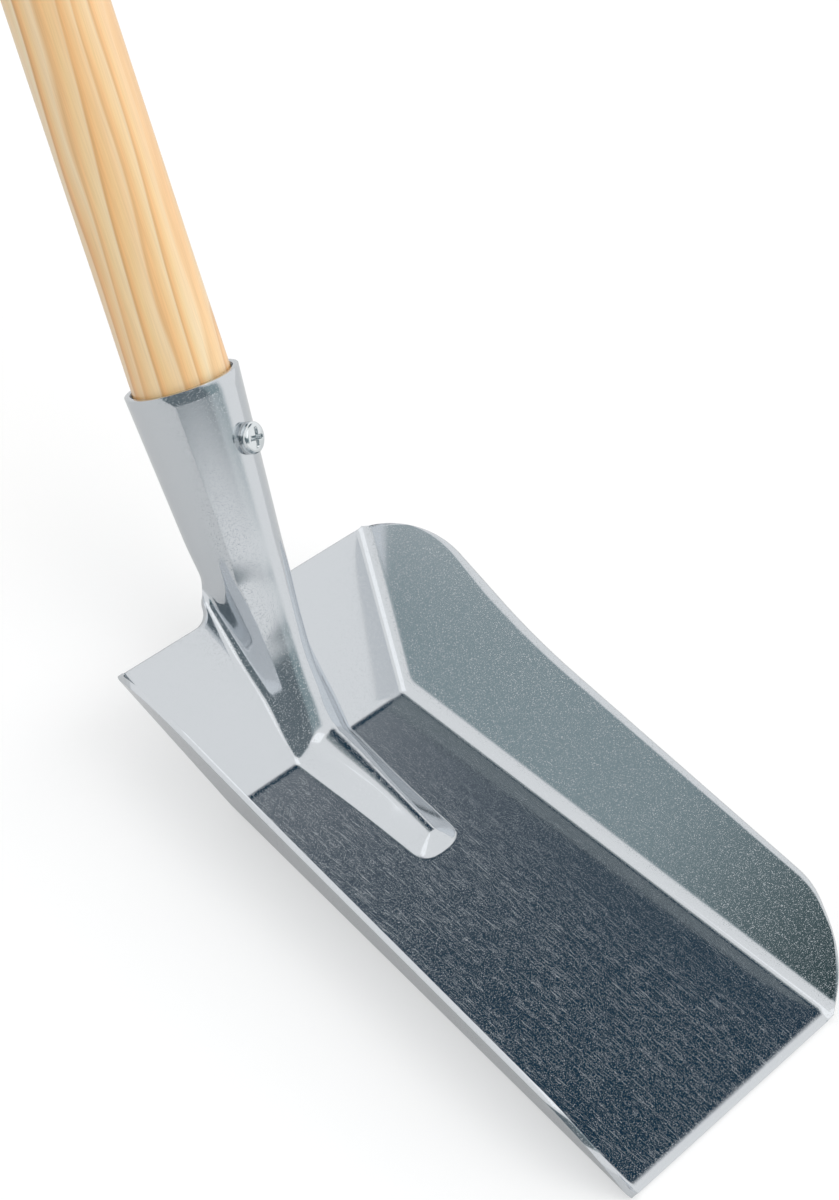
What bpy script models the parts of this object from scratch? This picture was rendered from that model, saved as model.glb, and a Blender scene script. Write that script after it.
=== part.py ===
"""Short-handled shovel: a scoop pressed from one steel sheet, whose back rolls up
into a tapered socket, a turned wooden handle seated in it, and the screw that holds it.

The frame is +Z up with the lip towards -Y. Its origin is the centre of the flat
underside of the floor. The sheet is worked out as its upper surface in coordinates
that start at the fold between floor and back wall, and is then given its thickness.
"""
from math import acos, atan2, cos, pi, radians, sin, tan

import bmesh
import bpy
import numpy as np

# Sheet
SHEET = 0.0016
GAP = 0.0003

# Floor, side walls and back wall, on their upper faces
FLOOR_LENGTH = 0.1558
REAR_WIDTH = 0.0765
LIP_WIDTH = 0.0991
WALL_FLARE = radians(34.9)
BACK_RISE = radians(32.1)
BACK_HEIGHT = 0.0475
SIDE_BEND = 0.0034
FOLD_BEND = 0.0010
SIDE_BEND_REACH = 1.3 * SIDE_BEND * tan(WALL_FLARE)
FOLD_BEND_REACH = 1.6 * FOLD_BEND
TOP_EDGE_FILLET = 0.0040
TOP_EDGE_SPREAD = 0.0058
TOP_EDGE_START = 0.6 * BACK_HEIGHT

# Rim of a side wall: corners as (distance along the floor edge, height up the wall)
CROWN_BEHIND_FOLD = 0.0270
CROWN_HEIGHT = 0.0455
SHOULDER_AHEAD_OF_FOLD = 0.0230
SHOULDER_HEIGHT = 0.0353
FRONT_TOP_BEHIND_LIP = 0.0266
FRONT_TOP_HEIGHT = 0.0270
FRONT_LOW_BEHIND_LIP = 0.0078
FRONT_LOW_HEIGHT = 0.0154
CROWN_RADIUS = 0.029
SHOULDER_RADIUS = 0.250
FRONT_TOP_RADIUS = 0.024
FRONT_LOW_RADIUS = 0.040
LIP_CORNER_REACH = 1.45 * FRONT_TOP_BEHIND_LIP
LIP_CORNER_RUN = 0.6 * (FRONT_TOP_HEIGHT + FRONT_LOW_BEHIND_LIP)

# Ridge pressed into the floor and back wall: its nose, and its half width, height, foot
# fillet and crest radius at distances from the fold
NOSE_AHEAD = 0.0408
NOSE_LENGTH = 0.0068
NOSE_SQUARENESS = 2.8
RIDGE_SIZES = [
    (-NOSE_AHEAD, 0.0095, 0.0033, 0.0020, 0.0051),
    (-0.022, 0.01055, 0.0054, 0.0018, 0.0065),
    (-0.005, 0.0123, 0.0069, 0.0025, 0.0108),
    (0.008, 0.0136, 0.0077, 0.0036, 0.0104),
    (0.022, 0.0141, 0.0089, 0.0048, 0.0100),
    (0.035, 0.0150, 0.0122, 0.0042, 0.0106),
]
FOLD_REACH = 0.009
LEAN_REACH = 0.024

# Socket, rolled round an axis that leans back from the scoop
SOCKET_LIFT = radians(46.0)
SOCKET_LENGTH = 0.0663
NECK_LENGTH = 0.0220
NECK_WIDTH = 0.0295
NECK_FILLET = 0.0022
NECK_EDGE_PULL = 0.5
AXIS_ABOVE_TOP_EDGE = 0.0032
MOUTH_RADIUS = 0.0167
TAPER = 0.0713
SEAM_GAP = 0.0012

# Handle
HANDLE_RADIUS = 0.0142
HANDLE_OUTSIDE = 0.205
HANDLE_MOUTH_PLAY = 0.0008
HANDLE_SHORT_OF_NECK = 0.0015
HANDLE_EASE = 0.040
HANDLE_END_RADIUS = 0.008
HANDLE_TIP_CHAMFER = 0.002

# Screw, measured from the socket's mouth
SCREW_BELOW_MOUTH = 0.0195
SCREW_TURN = radians(10)
SCREW_HEAD_RADIUS = 0.0046
SCREW_HEAD_HEIGHT = 0.0030
SCREW_HEAD_EDGE = 0.0011
SCREW_HEAD_CROWN = 0.0002
SCREW_EDGE_TURN = radians(69)
SCREW_SHANK_RADIUS = 0.0021
SCREW_LENGTH = 0.018
SCREW_POINT = 0.005
RECESS_SPAN = 0.0050
RECESS_SLOT = 0.0009
RECESS_DEPTH = 0.0016

# How finely the sheet is divided
ARC_STEPS = 8
SIDE_STEPS = 2
FILLET_STEPS = 4
SKIRT_STEPS = 3
FLAT_STEPS = 3
BEND_STEPS = 4
WALL_STEPS = 4
NECK_STEPS = 10
TUBE_STEPS = 3
TURNED_STEPS = 32
SCREW_STEPS = 24
CURVE_STEPS = 10
LIP_ROWS = 6
FLOOR_ROWS = 4
NOSE_ROWS = 7
RIDGE_ROWS = 5
HEEL_ROWS = 3
FOLD_ROWS = 4
BACK_ROWS = 8
RIM_STEPS = 80
LIP_FADE_ROWS = 8
REAR_FADE_ROWS = 7

# Plain colours as (base colour, roughness, metallic)
ZINC_SHEET = ((0.56, 0.60, 0.63), 0.30, 1.0)
PINE = ((0.80, 0.55, 0.29), 0.50, 0.0)
ZINC_SCREW = ((0.72, 0.74, 0.76), 0.22, 1.0)

COLLECTION = "short_handled_shovel"
FRAME_SHIFT = np.array([0.0, FLOOR_LENGTH / 2, SHEET])


# Small formulas

def ease(t):
    """Goes smoothly from 0 to 1 as t does."""
    t = np.clip(t, 0.0, 1.0)
    return t * t * (3 - 2 * t)


def blend_up(a, b, width):
    """The larger of a and b, with a parabola of the given width where they cross."""
    return np.maximum(a, b) + np.maximum(width - np.abs(a - b), 0.0) ** 2 / (4 * width)


def through(knots, x):
    """A smooth curve through the knots, as cubic pieces with matching slopes."""
    xs, ys = np.array(knots, float).T
    slopes = np.gradient(ys, xs)
    x = np.asarray(x, float)
    i = np.clip(np.searchsorted(xs, x) - 1, 0, len(xs) - 2)
    span = xs[i + 1] - xs[i]
    t = (x - xs[i]) / span
    rise = (3 - 2 * t) * t * t
    return (ys[i] * (1 - rise) + ys[i + 1] * rise
            + span * slopes[i] * t * (1 - t) ** 2
            - span * slopes[i + 1] * t * t * (1 - t))


def rounded_path(corners, radii):
    """A path through the corners, each inner one rounded by its radius."""
    corners = np.array(corners, float)
    path = [corners[0]]
    for before, corner, after, radius in zip(corners, corners[1:], corners[2:], radii):
        back = (before - corner) / np.linalg.norm(before - corner)
        ahead = (after - corner) / np.linalg.norm(after - corner)
        half = np.arccos(back @ ahead) / 2
        inward = (back + ahead) / np.linalg.norm(back + ahead)
        centre = corner + inward * radius / sin(half)
        start = corner + back * radius / tan(half) - centre
        end = corner + ahead * radius / tan(half) - centre
        for t in np.linspace(0, 1, CURVE_STEPS):
            spoke = start * (1 - t) + end * t
            path.append(centre + spoke * radius / np.linalg.norm(spoke))
    path.append(corners[-1])
    return np.array(path)


def hermite(t, start, start_slope, end, end_slope):
    """A cubic from start to end that leaves and arrives along the two slopes."""
    rise = (3 - 2 * t) * t * t
    return (start * (1 - rise) + end * rise
            + start_slope * t * (1 - t) ** 2 - end_slope * t * t * (1 - t))


# Planes of the scoop

def scoop_frame():
    """Directions of the right side wall and the place of its rear top corner."""
    run = np.array([(LIP_WIDTH - REAR_WIDTH) / 2, -FLOOR_LENGTH])
    edge_length = np.linalg.norm(run)
    along = np.array([*(run / edge_length), 0.0])
    outward = np.array([-along[1], along[0]])
    up_wall = np.array([*(outward * sin(WALL_FLARE)), cos(WALL_FLARE)])
    corner_up = BACK_HEIGHT * sin(BACK_RISE) / up_wall[2]
    corner_along = (BACK_HEIGHT * cos(BACK_RISE) - corner_up * up_wall[1]) / along[1]
    return edge_length, along, outward, up_wall, (corner_along, corner_up)


EDGE_LENGTH, ALONG, OUTWARD, UP_WALL, REAR_CORNER = scoop_frame()


def rim_outline():
    """The right wall's rim from the lip to the rear top corner, in wall coordinates."""
    corners = [
        (EDGE_LENGTH, 0.0),
        (EDGE_LENGTH - FRONT_LOW_BEHIND_LIP, FRONT_LOW_HEIGHT),
        (EDGE_LENGTH - FRONT_TOP_BEHIND_LIP, FRONT_TOP_HEIGHT),
        (SHOULDER_AHEAD_OF_FOLD, SHOULDER_HEIGHT),
        (-CROWN_BEHIND_FOLD, CROWN_HEIGHT),
        REAR_CORNER,
    ]
    radii = [FRONT_LOW_RADIUS, FRONT_TOP_RADIUS, SHOULDER_RADIUS, CROWN_RADIUS]
    return rounded_path(corners, radii)


RIM = rim_outline()
RIM_RUN = np.concatenate([[0.0], np.cumsum(np.linalg.norm(np.diff(RIM, axis=0), axis=1))])


def rim_point(run):
    """The rim's wall coordinates at a distance along it from the lip."""
    return np.stack([np.interp(run, RIM_RUN, RIM[:, 0]), np.interp(run, RIM_RUN, RIM[:, 1])], -1)


def wall_height(x, y):
    """Height of the right wall's plane over the floor."""
    return ((np.abs(x) - REAR_WIDTH / 2) * OUTWARD[0] + y * OUTWARD[1]) / tan(WALL_FLARE)


def sheet_height(x, y):
    """Height of the scoop without its ridge: floor, back wall and side wall, blended."""
    return blend_up(blend_up(0.0, y * tan(BACK_RISE), FOLD_BEND), wall_height(x, y), SIDE_BEND)


def crease_x(y):
    """Where the side wall meets the floor, or the back wall behind the fold."""
    rise = max(y, 0.0) * tan(BACK_RISE) * tan(WALL_FLARE)
    return REAR_WIDTH / 2 + (rise - y * OUTWARD[1]) / OUTWARD[0]


# Ridge and socket

SOCKET_UP = np.array([-sin(SOCKET_LIFT), cos(SOCKET_LIFT)])
TUBE_LENGTH = SOCKET_LENGTH - NECK_LENGTH
HANDLE_INSERT = TUBE_LENGTH - HANDLE_SHORT_OF_NECK
NECK_STATION = BACK_HEIGHT + TOP_EDGE_FILLET


def axis_point(below_mouth):
    """A point on the socket's axis, as y and z."""
    top_edge = BACK_HEIGHT * np.array([cos(BACK_RISE), sin(BACK_RISE)])
    axis = np.array([cos(SOCKET_LIFT), sin(SOCKET_LIFT)])
    return top_edge + AXIS_ABOVE_TOP_EDGE * SOCKET_UP + (SOCKET_LENGTH - below_mouth) * axis


def socket_ring(below_mouth, turns):
    """Points round the socket's outer face, with turn 0 over its front."""
    radius = MOUTH_RADIUS - TAPER * below_mouth
    centre = axis_point(below_mouth)
    yz = centre + radius * np.cos(turns)[:, None] * SOCKET_UP
    return np.column_stack([radius * np.sin(turns), yz])


def ridge_top_height():
    """How far the front of the socket stands over the back wall's plane at the neck."""
    up = np.array([-sin(BACK_RISE), cos(BACK_RISE)])
    slant = np.array([cos(BACK_RISE), sin(BACK_RISE)])
    lower = socket_ring(SOCKET_LENGTH, np.zeros(1))[0, 1:]
    upper = socket_ring(0.0, np.zeros(1))[0, 1:]
    share = (NECK_STATION - lower @ slant) / ((upper - lower) @ slant)
    return float((lower + share * (upper - lower)) @ up)


NECK = (NECK_STATION, NECK_WIDTH / 2, ridge_top_height(), NECK_FILLET, NECK_WIDTH / 2 - NECK_FILLET)
RIDGE = np.array(RIDGE_SIZES + [NECK])


def ridge_size(station):
    """Half width, height, foot fillet and crest radius at a distance from the fold."""
    station = max(station, -NOSE_AHEAD)
    return tuple(float(through(RIDGE[:, [0, k]], station)) for k in (1, 2, 3, 4))


def ridge_section(half_width, height, fillet, radius):
    """Half a section from the crest out: an arc, a straight side and the foot fillet."""
    low = min(height, half_width)
    both = min(radius + fillet, (half_width ** 2 + low ** 2) / (2 * low))
    radius = both - fillet
    turn = atan2(half_width, both - height) - acos(both / np.hypot(half_width, both - height))
    crest = np.linspace(0, turn, ARC_STEPS + 1)
    foot = np.linspace(turn, 0, FILLET_STEPS + 1)
    arc_x, arc_rise = radius * np.sin(crest), height - radius + radius * np.cos(crest)
    foot_x, foot_rise = half_width - fillet * np.sin(foot), fillet - fillet * np.cos(foot)
    side = np.linspace(0, 1, SIDE_STEPS + 1)[1:-1]
    side_x = arc_x[-1] + side * (foot_x[0] - arc_x[-1])
    side_rise = arc_rise[-1] + side * (foot_rise[0] - arc_rise[-1])
    return np.concatenate([arc_x, side_x, foot_x]), np.concatenate([arc_rise, side_rise, foot_rise])


def path_point(station):
    """The sheet's middle line without the ridge, as y and z."""
    y = np.where(station > 0, station * cos(BACK_RISE), station)
    return y, blend_up(0.0, y * tan(BACK_RISE), FOLD_BEND)


def ridge_line(station):
    """The ridge's half section in space at a station, crest first."""
    size = ridge_size(station)
    x, rise = ridge_section(*size)
    if station < -NOSE_AHEAD:
        section = x, rise
        power = NOSE_SQUARENESS
        ahead = (-NOSE_AHEAD - station) / NOSE_LENGTH
        x = x * (1 - (min(ahead, 1.0) * x / size[0]) ** power / 2) ** (1 / power)
        reach = ((x / size[0]) ** power + ahead ** power) ** (1 / power)
        rise = np.interp(reach * size[0], *section)
    lean = BACK_RISE * ease(station / LEAN_REACH)
    y, z = path_point(station)
    return np.column_stack([x, y - rise * sin(lean), z + rise * cos(lean)])


# The sheet as one grid

def row_stations():
    """Distances from the fold, lip first, closer where the sheet bends."""
    nose_end = -NOSE_AHEAD - NOSE_LENGTH
    front = EDGE_LENGTH - LIP_CORNER_REACH
    fold = FOLD_BEND_REACH
    near = FOLD_REACH
    parts = [
        np.linspace(-FLOOR_LENGTH, -front, LIP_ROWS + 1),
        np.linspace(-front, nose_end - NOSE_LENGTH / 4, FLOOR_ROWS + 1)[1:],
        -NOSE_AHEAD - NOSE_LENGTH * np.cos(np.linspace(0, pi / 2, NOSE_ROWS + 1)),
        np.linspace(-NOSE_AHEAD, -near, RIDGE_ROWS + 1)[1:],
        np.linspace(-near, -fold, HEEL_ROWS + 1)[1:],
        np.linspace(-fold, fold, FOLD_ROWS + 1)[1:],
        np.linspace(fold, near, HEEL_ROWS + 1)[1:],
        np.linspace(near, BACK_HEIGHT, BACK_ROWS + 1)[1:],
    ]
    return np.concatenate(parts)


def wall_rows(stations):
    """For each row, its foot on the crease and its end on the rim."""
    back = np.clip(stations / BACK_HEIGHT, 0, 1)[:, None] * np.array(REAR_CORNER)
    floor = np.column_stack([-np.minimum(stations, 0) * EDGE_LENGTH / FLOOR_LENGTH, 0 * stations])
    feet = back + floor
    total = RIM_RUN[-1]
    square = np.interp(-feet[:, 0], -RIM[:, 0], RIM_RUN)
    rear_end = total - CROWN_RADIUS / 2
    share = (square - square[0]) / (square[-1] - square[0])
    even = LIP_CORNER_RUN + share * (rear_end - LIP_CORNER_RUN)
    reach = 2 * CROWN_HEIGHT
    hold = ease(square / reach) * ease((total - square) / reach)
    runs = even * (1 - hold) + square * hold
    return feet, runs


def wall_line(foot, run, front_share, rear_share, end_runs):
    """One row up the side wall. The first and last rows follow the rim itself."""
    tip = rim_point(run)
    length = np.linalg.norm(tip - foot)
    first = SIDE_BEND_REACH / 2 / sin(WALL_FLARE)
    near = np.linspace(first, 2 * first, BEND_STEPS // 2)
    share = np.concatenate([near, np.linspace(2 * first, length, WALL_STEPS + 1)[1:]]) / length
    line = foot + share[:, None] * (tip - foot)
    steps = np.linspace(0, 1, RIM_STEPS)
    for weight, start, end in ((front_share, 0.0, end_runs[0]), (rear_share, RIM_RUN[-1], end_runs[1])):
        curve = rim_point(start + (end - start) * steps)
        bow = curve - curve[0] - steps[:, None] * (curve[-1] - curve[0])
        line = line + weight * np.column_stack([np.interp(share, steps, bow[:, k]) for k in (0, 1)])
    x = REAR_WIDTH / 2 + line @ np.array([ALONG[0], UP_WALL[0]])
    y = line @ np.array([ALONG[1], UP_WALL[1]])
    return np.column_stack([x, y, sheet_height(x, y)])


def half_row(station, foot, run, front_share, rear_share, end_runs):
    """One row of the right half: ridge, fillet of the top edge, flat, bend and side wall."""
    lift = float(ease((station - TOP_EDGE_START) / (BACK_HEIGHT - TOP_EDGE_START)))
    ridge = ridge_line(station + TOP_EDGE_FILLET * lift)
    turn = np.linspace(pi / 2, 0, SKIRT_STEPS + 1)[1:]
    skirt_x = ridge[-1, 0] + TOP_EDGE_SPREAD * (1 - np.sin(turn))
    skirt_y, skirt_z = path_point(station + TOP_EDGE_FILLET * lift * (1 - np.cos(turn)))
    skirt = np.column_stack([skirt_x, skirt_y, skirt_z])
    y = float(path_point(station)[0])
    crease = crease_x(y)
    flat = np.linspace(skirt_x[-1], crease - SIDE_BEND_REACH, FLAT_STEPS + 1)[1:]
    bend = crease + np.linspace(-SIDE_BEND_REACH, 0, BEND_STEPS // 2 + 1)[1:]
    x = np.concatenate([flat, bend])
    floor = np.column_stack([x, np.full(len(x), y), sheet_height(x, y)])
    wall = wall_line(foot, run, front_share, rear_share, end_runs)
    return np.concatenate([ridge, skirt, floor, wall])


def scoop_rows():
    """The right half of the scoop, one row of points for each station."""
    stations = row_stations()
    feet, runs = wall_rows(stations)
    end_runs = (runs[0], runs[-1])
    rows = []
    for k, station in enumerate(stations):
        front_share = max(0.0, 1 - k / LIP_FADE_ROWS) ** 2
        rear_share = max(0.0, 1 - (len(stations) - 1 - k) / REAR_FADE_ROWS) ** 2
        rows.append(half_row(station, feet[k], runs[k], front_share, rear_share, end_runs))
    return np.array(rows)


def neck_rows():
    """The tongue that leaves the back wall and rolls up into the socket, neck first."""
    nudge = TOP_EDGE_FILLET / 8
    start = ridge_line(NECK_STATION)
    start_slope = (start - ridge_line(NECK_STATION - nudge)) / nudge
    columns = ARC_STEPS + SIDE_STEPS + FILLET_STEPS + 1

    def ring(below_mouth):
        half_gap = SEAM_GAP / 2 / (MOUTH_RADIUS - TAPER * below_mouth)
        return socket_ring(below_mouth, np.linspace(0, pi - half_gap, columns))

    end = ring(TUBE_LENGTH)
    end_slope = (ring(TUBE_LENGTH - nudge) - end) / nudge
    reach = np.linalg.norm(end - start, axis=1)[:, None]
    pull = reach * np.linspace(1, NECK_EDGE_PULL, columns)[:, None]
    rows = [hermite(t, start, pull * start_slope, end, reach * end_slope)
            for t in np.linspace(0, 1, NECK_STEPS + 1)[1:]]
    rows += [ring(t) for t in np.linspace(TUBE_LENGTH, 0, TUBE_STEPS + 1)[1:]]
    return np.array(rows)


def both_halves(rows):
    """Adds the mirrored left half to rows that start on the middle line."""
    left = rows[:, :0:-1] * np.array([-1.0, 1.0, 1.0])
    return np.concatenate([left, rows], axis=1)


def sheet_mesh():
    """The whole sheet's upper face as one open mesh of quads."""
    scoop = both_halves(scoop_rows())
    neck = both_halves(neck_rows())
    points = np.concatenate([scoop.reshape(-1, 3), neck.reshape(-1, 3)]) + FRAME_SHIFT
    scoop_ids = np.arange(scoop.shape[0] * scoop.shape[1]).reshape(scoop.shape[:2])
    margin = (scoop.shape[1] - neck.shape[1]) // 2
    neck_ids = scoop_ids.size + np.arange(neck.shape[0] * neck.shape[1]).reshape(neck.shape[:2])
    neck_ids = np.concatenate([scoop_ids[-1:, margin:-margin], neck_ids])
    faces = np.concatenate([quads(scoop_ids), quads(neck_ids)])
    mesh = bpy.data.meshes.new("blade_and_socket")
    mesh.from_pydata(points.tolist(), [], faces.tolist())
    mesh.validate()
    return mesh


def quads(ids):
    """Faces between the rows of a grid of vertex numbers, with their normals up."""
    corners = [ids[:-1, :-1], ids[:-1, 1:], ids[1:, 1:], ids[1:, :-1]]
    return np.stack(corners, -1).reshape(-1, 4)


# Blender objects

def clear_scene():
    for obj in list(bpy.data.objects):
        bpy.data.objects.remove(obj, do_unlink=True)


def new_collection(name):
    collection = bpy.data.collections.new(name)
    bpy.context.scene.collection.children.link(collection)
    return collection


def material(name, colour, roughness, metallic):
    mat = bpy.data.materials.new(name)
    mat.use_nodes = True
    shader = mat.node_tree.nodes["Principled BSDF"]
    shader.inputs["Base Color"].default_value = (*colour, 1.0)
    shader.inputs["Roughness"].default_value = roughness
    shader.inputs["Metallic"].default_value = metallic
    return mat


def add_object(name, mesh, collection, mat=None):
    obj = bpy.data.objects.new(name, mesh)
    collection.objects.link(obj)
    if mat is not None:
        mesh.materials.append(mat)
    return obj


def make_cutter(obj):
    obj.hide_render = True
    obj.display_type = "WIRE"


def cut(obj, cutter):
    boolean = obj.modifiers.new("cut_" + cutter.name, "BOOLEAN")
    boolean.operation = "DIFFERENCE"
    boolean.solver = "EXACT"
    boolean.object = cutter


def turned(name, profile, steps, collection, mat):
    """A solid turned round its own Z axis from a profile that runs top to bottom."""
    mesh = bpy.data.meshes.new(name)
    points = [(float(r), 0.0, float(z)) for r, z in profile]
    edges = [(k, k + 1) for k in range(len(points) - 1)]
    mesh.from_pydata(points, edges, [])
    obj = add_object(name, mesh, collection, mat)
    screw = obj.modifiers.new("turn", "SCREW")
    screw.axis = "Z"
    screw.steps = steps
    screw.render_steps = steps
    screw.use_merge_vertices = True
    screw.merge_threshold = 0.00001
    screw.use_smooth_shade = True
    return obj


def place(obj, origin, axis):
    """Puts an object's origin at a point and turns its +Z along the axis."""
    x, y, z = axis
    obj.location = origin
    obj.rotation_euler = (0.0, atan2(np.hypot(x, y), z), atan2(y, x))


def arc(centre, radius, start, end, steps):
    """Points of a profile round a centre, from one angle to another."""
    turns = np.linspace(start, end, steps + 1)
    return [(centre[0] + radius * cos(t), centre[1] + radius * sin(t)) for t in turns]


def screw_seat():
    """The point on the socket under the screw's head, and the way out from the sheet."""
    point = socket_ring(SCREW_BELOW_MOUTH, np.array([SCREW_TURN]))[0]
    radial = np.array([sin(SCREW_TURN), *(cos(SCREW_TURN) * SOCKET_UP)])
    axis = np.array([0.0, cos(SOCKET_LIFT), sin(SOCKET_LIFT)])
    outward = radial - TAPER * axis
    return point + FRAME_SHIFT, outward / np.linalg.norm(outward)


def build_sheet(collection, mat):
    obj = add_object("blade_and_socket", sheet_mesh(), collection, mat)
    wall = obj.modifiers.new("thickness", "SOLIDIFY")
    wall.thickness = SHEET
    wall.offset = -1.0
    wall.use_even_offset = True
    obj.data.shade_smooth()
    return obj


def handle_profile():
    """Half outline of the handle, top end first, with its mouth at z = 0."""
    inside = MOUTH_RADIUS - SHEET - GAP
    mouth = inside - (HANDLE_MOUTH_PLAY - GAP)
    tip = inside - TAPER * HANDLE_INSERT - GAP
    top = HANDLE_OUTSIDE
    crown = HANDLE_END_RADIUS
    dome = arc((HANDLE_RADIUS - crown, top - crown), crown, pi / 2, 0, CURVE_STEPS // 2)
    return [
        (0.0, top),
        *dome,
        (HANDLE_RADIUS, HANDLE_EASE),
        (mouth, 0.0),
        (tip, HANDLE_TIP_CHAMFER - HANDLE_INSERT),
        (tip - HANDLE_TIP_CHAMFER, -HANDLE_INSERT),
        (0.0, -HANDLE_INSERT),
    ]


def build_handle(collection, mat):
    obj = turned("handle", handle_profile(), TURNED_STEPS, collection, mat)
    mouth = np.array([0.0, *axis_point(0.0)]) + FRAME_SHIFT
    place(obj, mouth, (0.0, cos(SOCKET_LIFT), sin(SOCKET_LIFT)))
    return obj


def screw_profile(grow, head):
    """Half outline of the screw from its seat, or of the hole that clears it."""
    radius = SCREW_SHANK_RADIUS + grow
    if head:
        edge = SCREW_HEAD_EDGE
        centre = (SCREW_HEAD_RADIUS - edge, SCREW_HEAD_HEIGHT - edge)
        crown = arc(centre, edge, SCREW_EDGE_TURN, 0, FILLET_STEPS)
        middle = (0.0, SCREW_HEAD_HEIGHT + SCREW_HEAD_CROWN)
        top = [middle, *crown, (SCREW_HEAD_RADIUS, 0.0), (radius, 0.0)]
    else:
        top = [(0.0, SCREW_HEAD_HEIGHT), (radius, SCREW_HEAD_HEIGHT)]
    return top + [(radius, SCREW_POINT - SCREW_LENGTH - grow), (0.0, -SCREW_LENGTH - 2 * grow)]


def build_recess(collection, seat, outward):
    """The cross in the head: two crossed bars joined into one cutter."""
    bars = []
    for size in ((RECESS_SPAN, RECESS_SLOT), (RECESS_SLOT, RECESS_SPAN)):
        mesh = bpy.data.meshes.new("recess_bar")
        shape = bmesh.new()
        bmesh.ops.create_cube(shape, size=1.0)
        bmesh.ops.scale(shape, vec=(*size, 2 * RECESS_DEPTH), verts=shape.verts)
        bmesh.ops.translate(shape, vec=(0, 0, SCREW_HEAD_HEIGHT), verts=shape.verts)
        shape.to_mesh(mesh)
        shape.free()
        bar = add_object("recess_bar", mesh, collection)
        place(bar, seat, outward)
        make_cutter(bar)
        bars.append(bar)
    join = bars[0].modifiers.new("cross", "BOOLEAN")
    join.operation = "UNION"
    join.solver = "EXACT"
    join.object = bars[1]
    return bars[0]


def build_screw(collection, cutters, mat, sheet, handle):
    point, outward = screw_seat()
    seat = point + GAP * outward
    screw = turned("screw", screw_profile(0.0, True), SCREW_STEPS, collection, mat)
    place(screw, seat, outward)
    cut(screw, build_recess(cutters, seat, outward))
    hole = turned("screw_hole", screw_profile(GAP, False), SCREW_STEPS, cutters, None)
    place(hole, seat, outward)
    make_cutter(hole)
    cut(sheet, hole)
    cut(handle, hole)


def main():
    clear_scene()
    parts = new_collection(COLLECTION)
    cutters = new_collection(COLLECTION + "_cutters")
    zinc = material("zinc_plated_sheet", *ZINC_SHEET)
    pine = material("pine", *PINE)
    bright = material("zinc_plated_screw", *ZINC_SCREW)
    sheet = build_sheet(parts, zinc)
    handle = build_handle(parts, pine)
    build_screw(parts, cutters, bright, sheet, handle)


main()
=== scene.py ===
# %% [markdown]
# # A short-handled shovel, one cell at a time
#
# This lesson dresses a small coal and ash shovel: a scoop pressed from one zinc-plated
# sheet that rolls up into a socket, a turned pine handle, and one screw. The solids that
# hold its weight and its contacts are loaded first. Every visible piece is then worked
# out again as a finer surface in the same frame, in metres, and given its finish.

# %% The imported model
from math import cos, pi, radians, sin, tan

import bpy
import numpy as np
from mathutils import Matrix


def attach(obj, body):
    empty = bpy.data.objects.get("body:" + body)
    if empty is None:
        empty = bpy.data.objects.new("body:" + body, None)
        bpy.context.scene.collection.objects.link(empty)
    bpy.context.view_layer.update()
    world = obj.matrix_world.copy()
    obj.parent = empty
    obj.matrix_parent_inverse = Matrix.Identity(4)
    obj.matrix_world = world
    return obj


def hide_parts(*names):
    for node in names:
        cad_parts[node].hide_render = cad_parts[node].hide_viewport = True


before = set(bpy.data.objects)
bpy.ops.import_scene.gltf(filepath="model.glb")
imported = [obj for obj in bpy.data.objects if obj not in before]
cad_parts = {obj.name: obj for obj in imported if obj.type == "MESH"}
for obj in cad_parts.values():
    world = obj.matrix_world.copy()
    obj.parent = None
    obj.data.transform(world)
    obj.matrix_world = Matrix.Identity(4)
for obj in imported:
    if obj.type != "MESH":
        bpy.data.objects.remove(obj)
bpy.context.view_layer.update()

# %% [markdown]
# ## The camera
#
# The picture was taken from the scoop's left, above its lip, with a long lens. The place
# and the three angles come from matching corners, creases and rims. The field of view of
# a 105 mm lens on a 36 mm frame is 19 degrees, so parallel edges hardly converge.

# %% Camera
camera = bpy.data.objects.new("camera", bpy.data.cameras.new("camera"))
camera.data.lens = 105.0
camera.data.sensor_width = 36.0
camera.data.clip_start = 0.05
camera.location = (-0.65553, -0.21212, 0.70082)
camera.rotation_euler = (radians(45.949), radians(-17.742), radians(-50.376))
bpy.context.scene.collection.objects.link(camera)
bpy.context.scene.camera = camera
print("camera", tuple(camera.location))

# %% [markdown]
# ## Helpers for materials
#
# Colours are written as they look on a screen and turned to the linear values that the
# shader needs. One function adds a node: plain values go on its sockets, sockets are
# linked, and everything else is a setting of the node.

# %% Colours and nodes
def linear(hex_colour):
    """Screen colour to linear: v/12.92 below 0.04045, else ((v + 0.055)/1.055) ** 2.4."""
    values = np.array([int(hex_colour[k:k + 2], 16) / 255 for k in (1, 3, 5)])
    low = values / 12.92
    high = ((values + 0.055) / 1.055) ** 2.4
    return (*np.where(values <= 0.04045, low, high).tolist(), 1.0)


def add(tree, kind, inputs=None, **settings):
    """Adds a node. Inputs map a socket's name or number to a value or another socket."""
    made = tree.nodes.new(kind)
    for key, value in settings.items():
        setattr(made, key, value)
    for key, value in (inputs or {}).items():
        if isinstance(value, bpy.types.NodeSocket):
            tree.links.new(value, made.inputs[key])
        else:
            made.inputs[key].default_value = value
    return made


def new_material(name):
    """An empty material and its node tree."""
    mat = bpy.data.materials.new(name)
    mat.use_nodes = True
    mat.node_tree.nodes.clear()
    return mat, mat.node_tree


def finish_material(mat, surface):
    """Links a shader to the material's output."""
    add(mat.node_tree, "ShaderNodeOutputMaterial", {"Surface": surface})
    print(mat.name, "has", len(mat.node_tree.nodes), "nodes")


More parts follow.
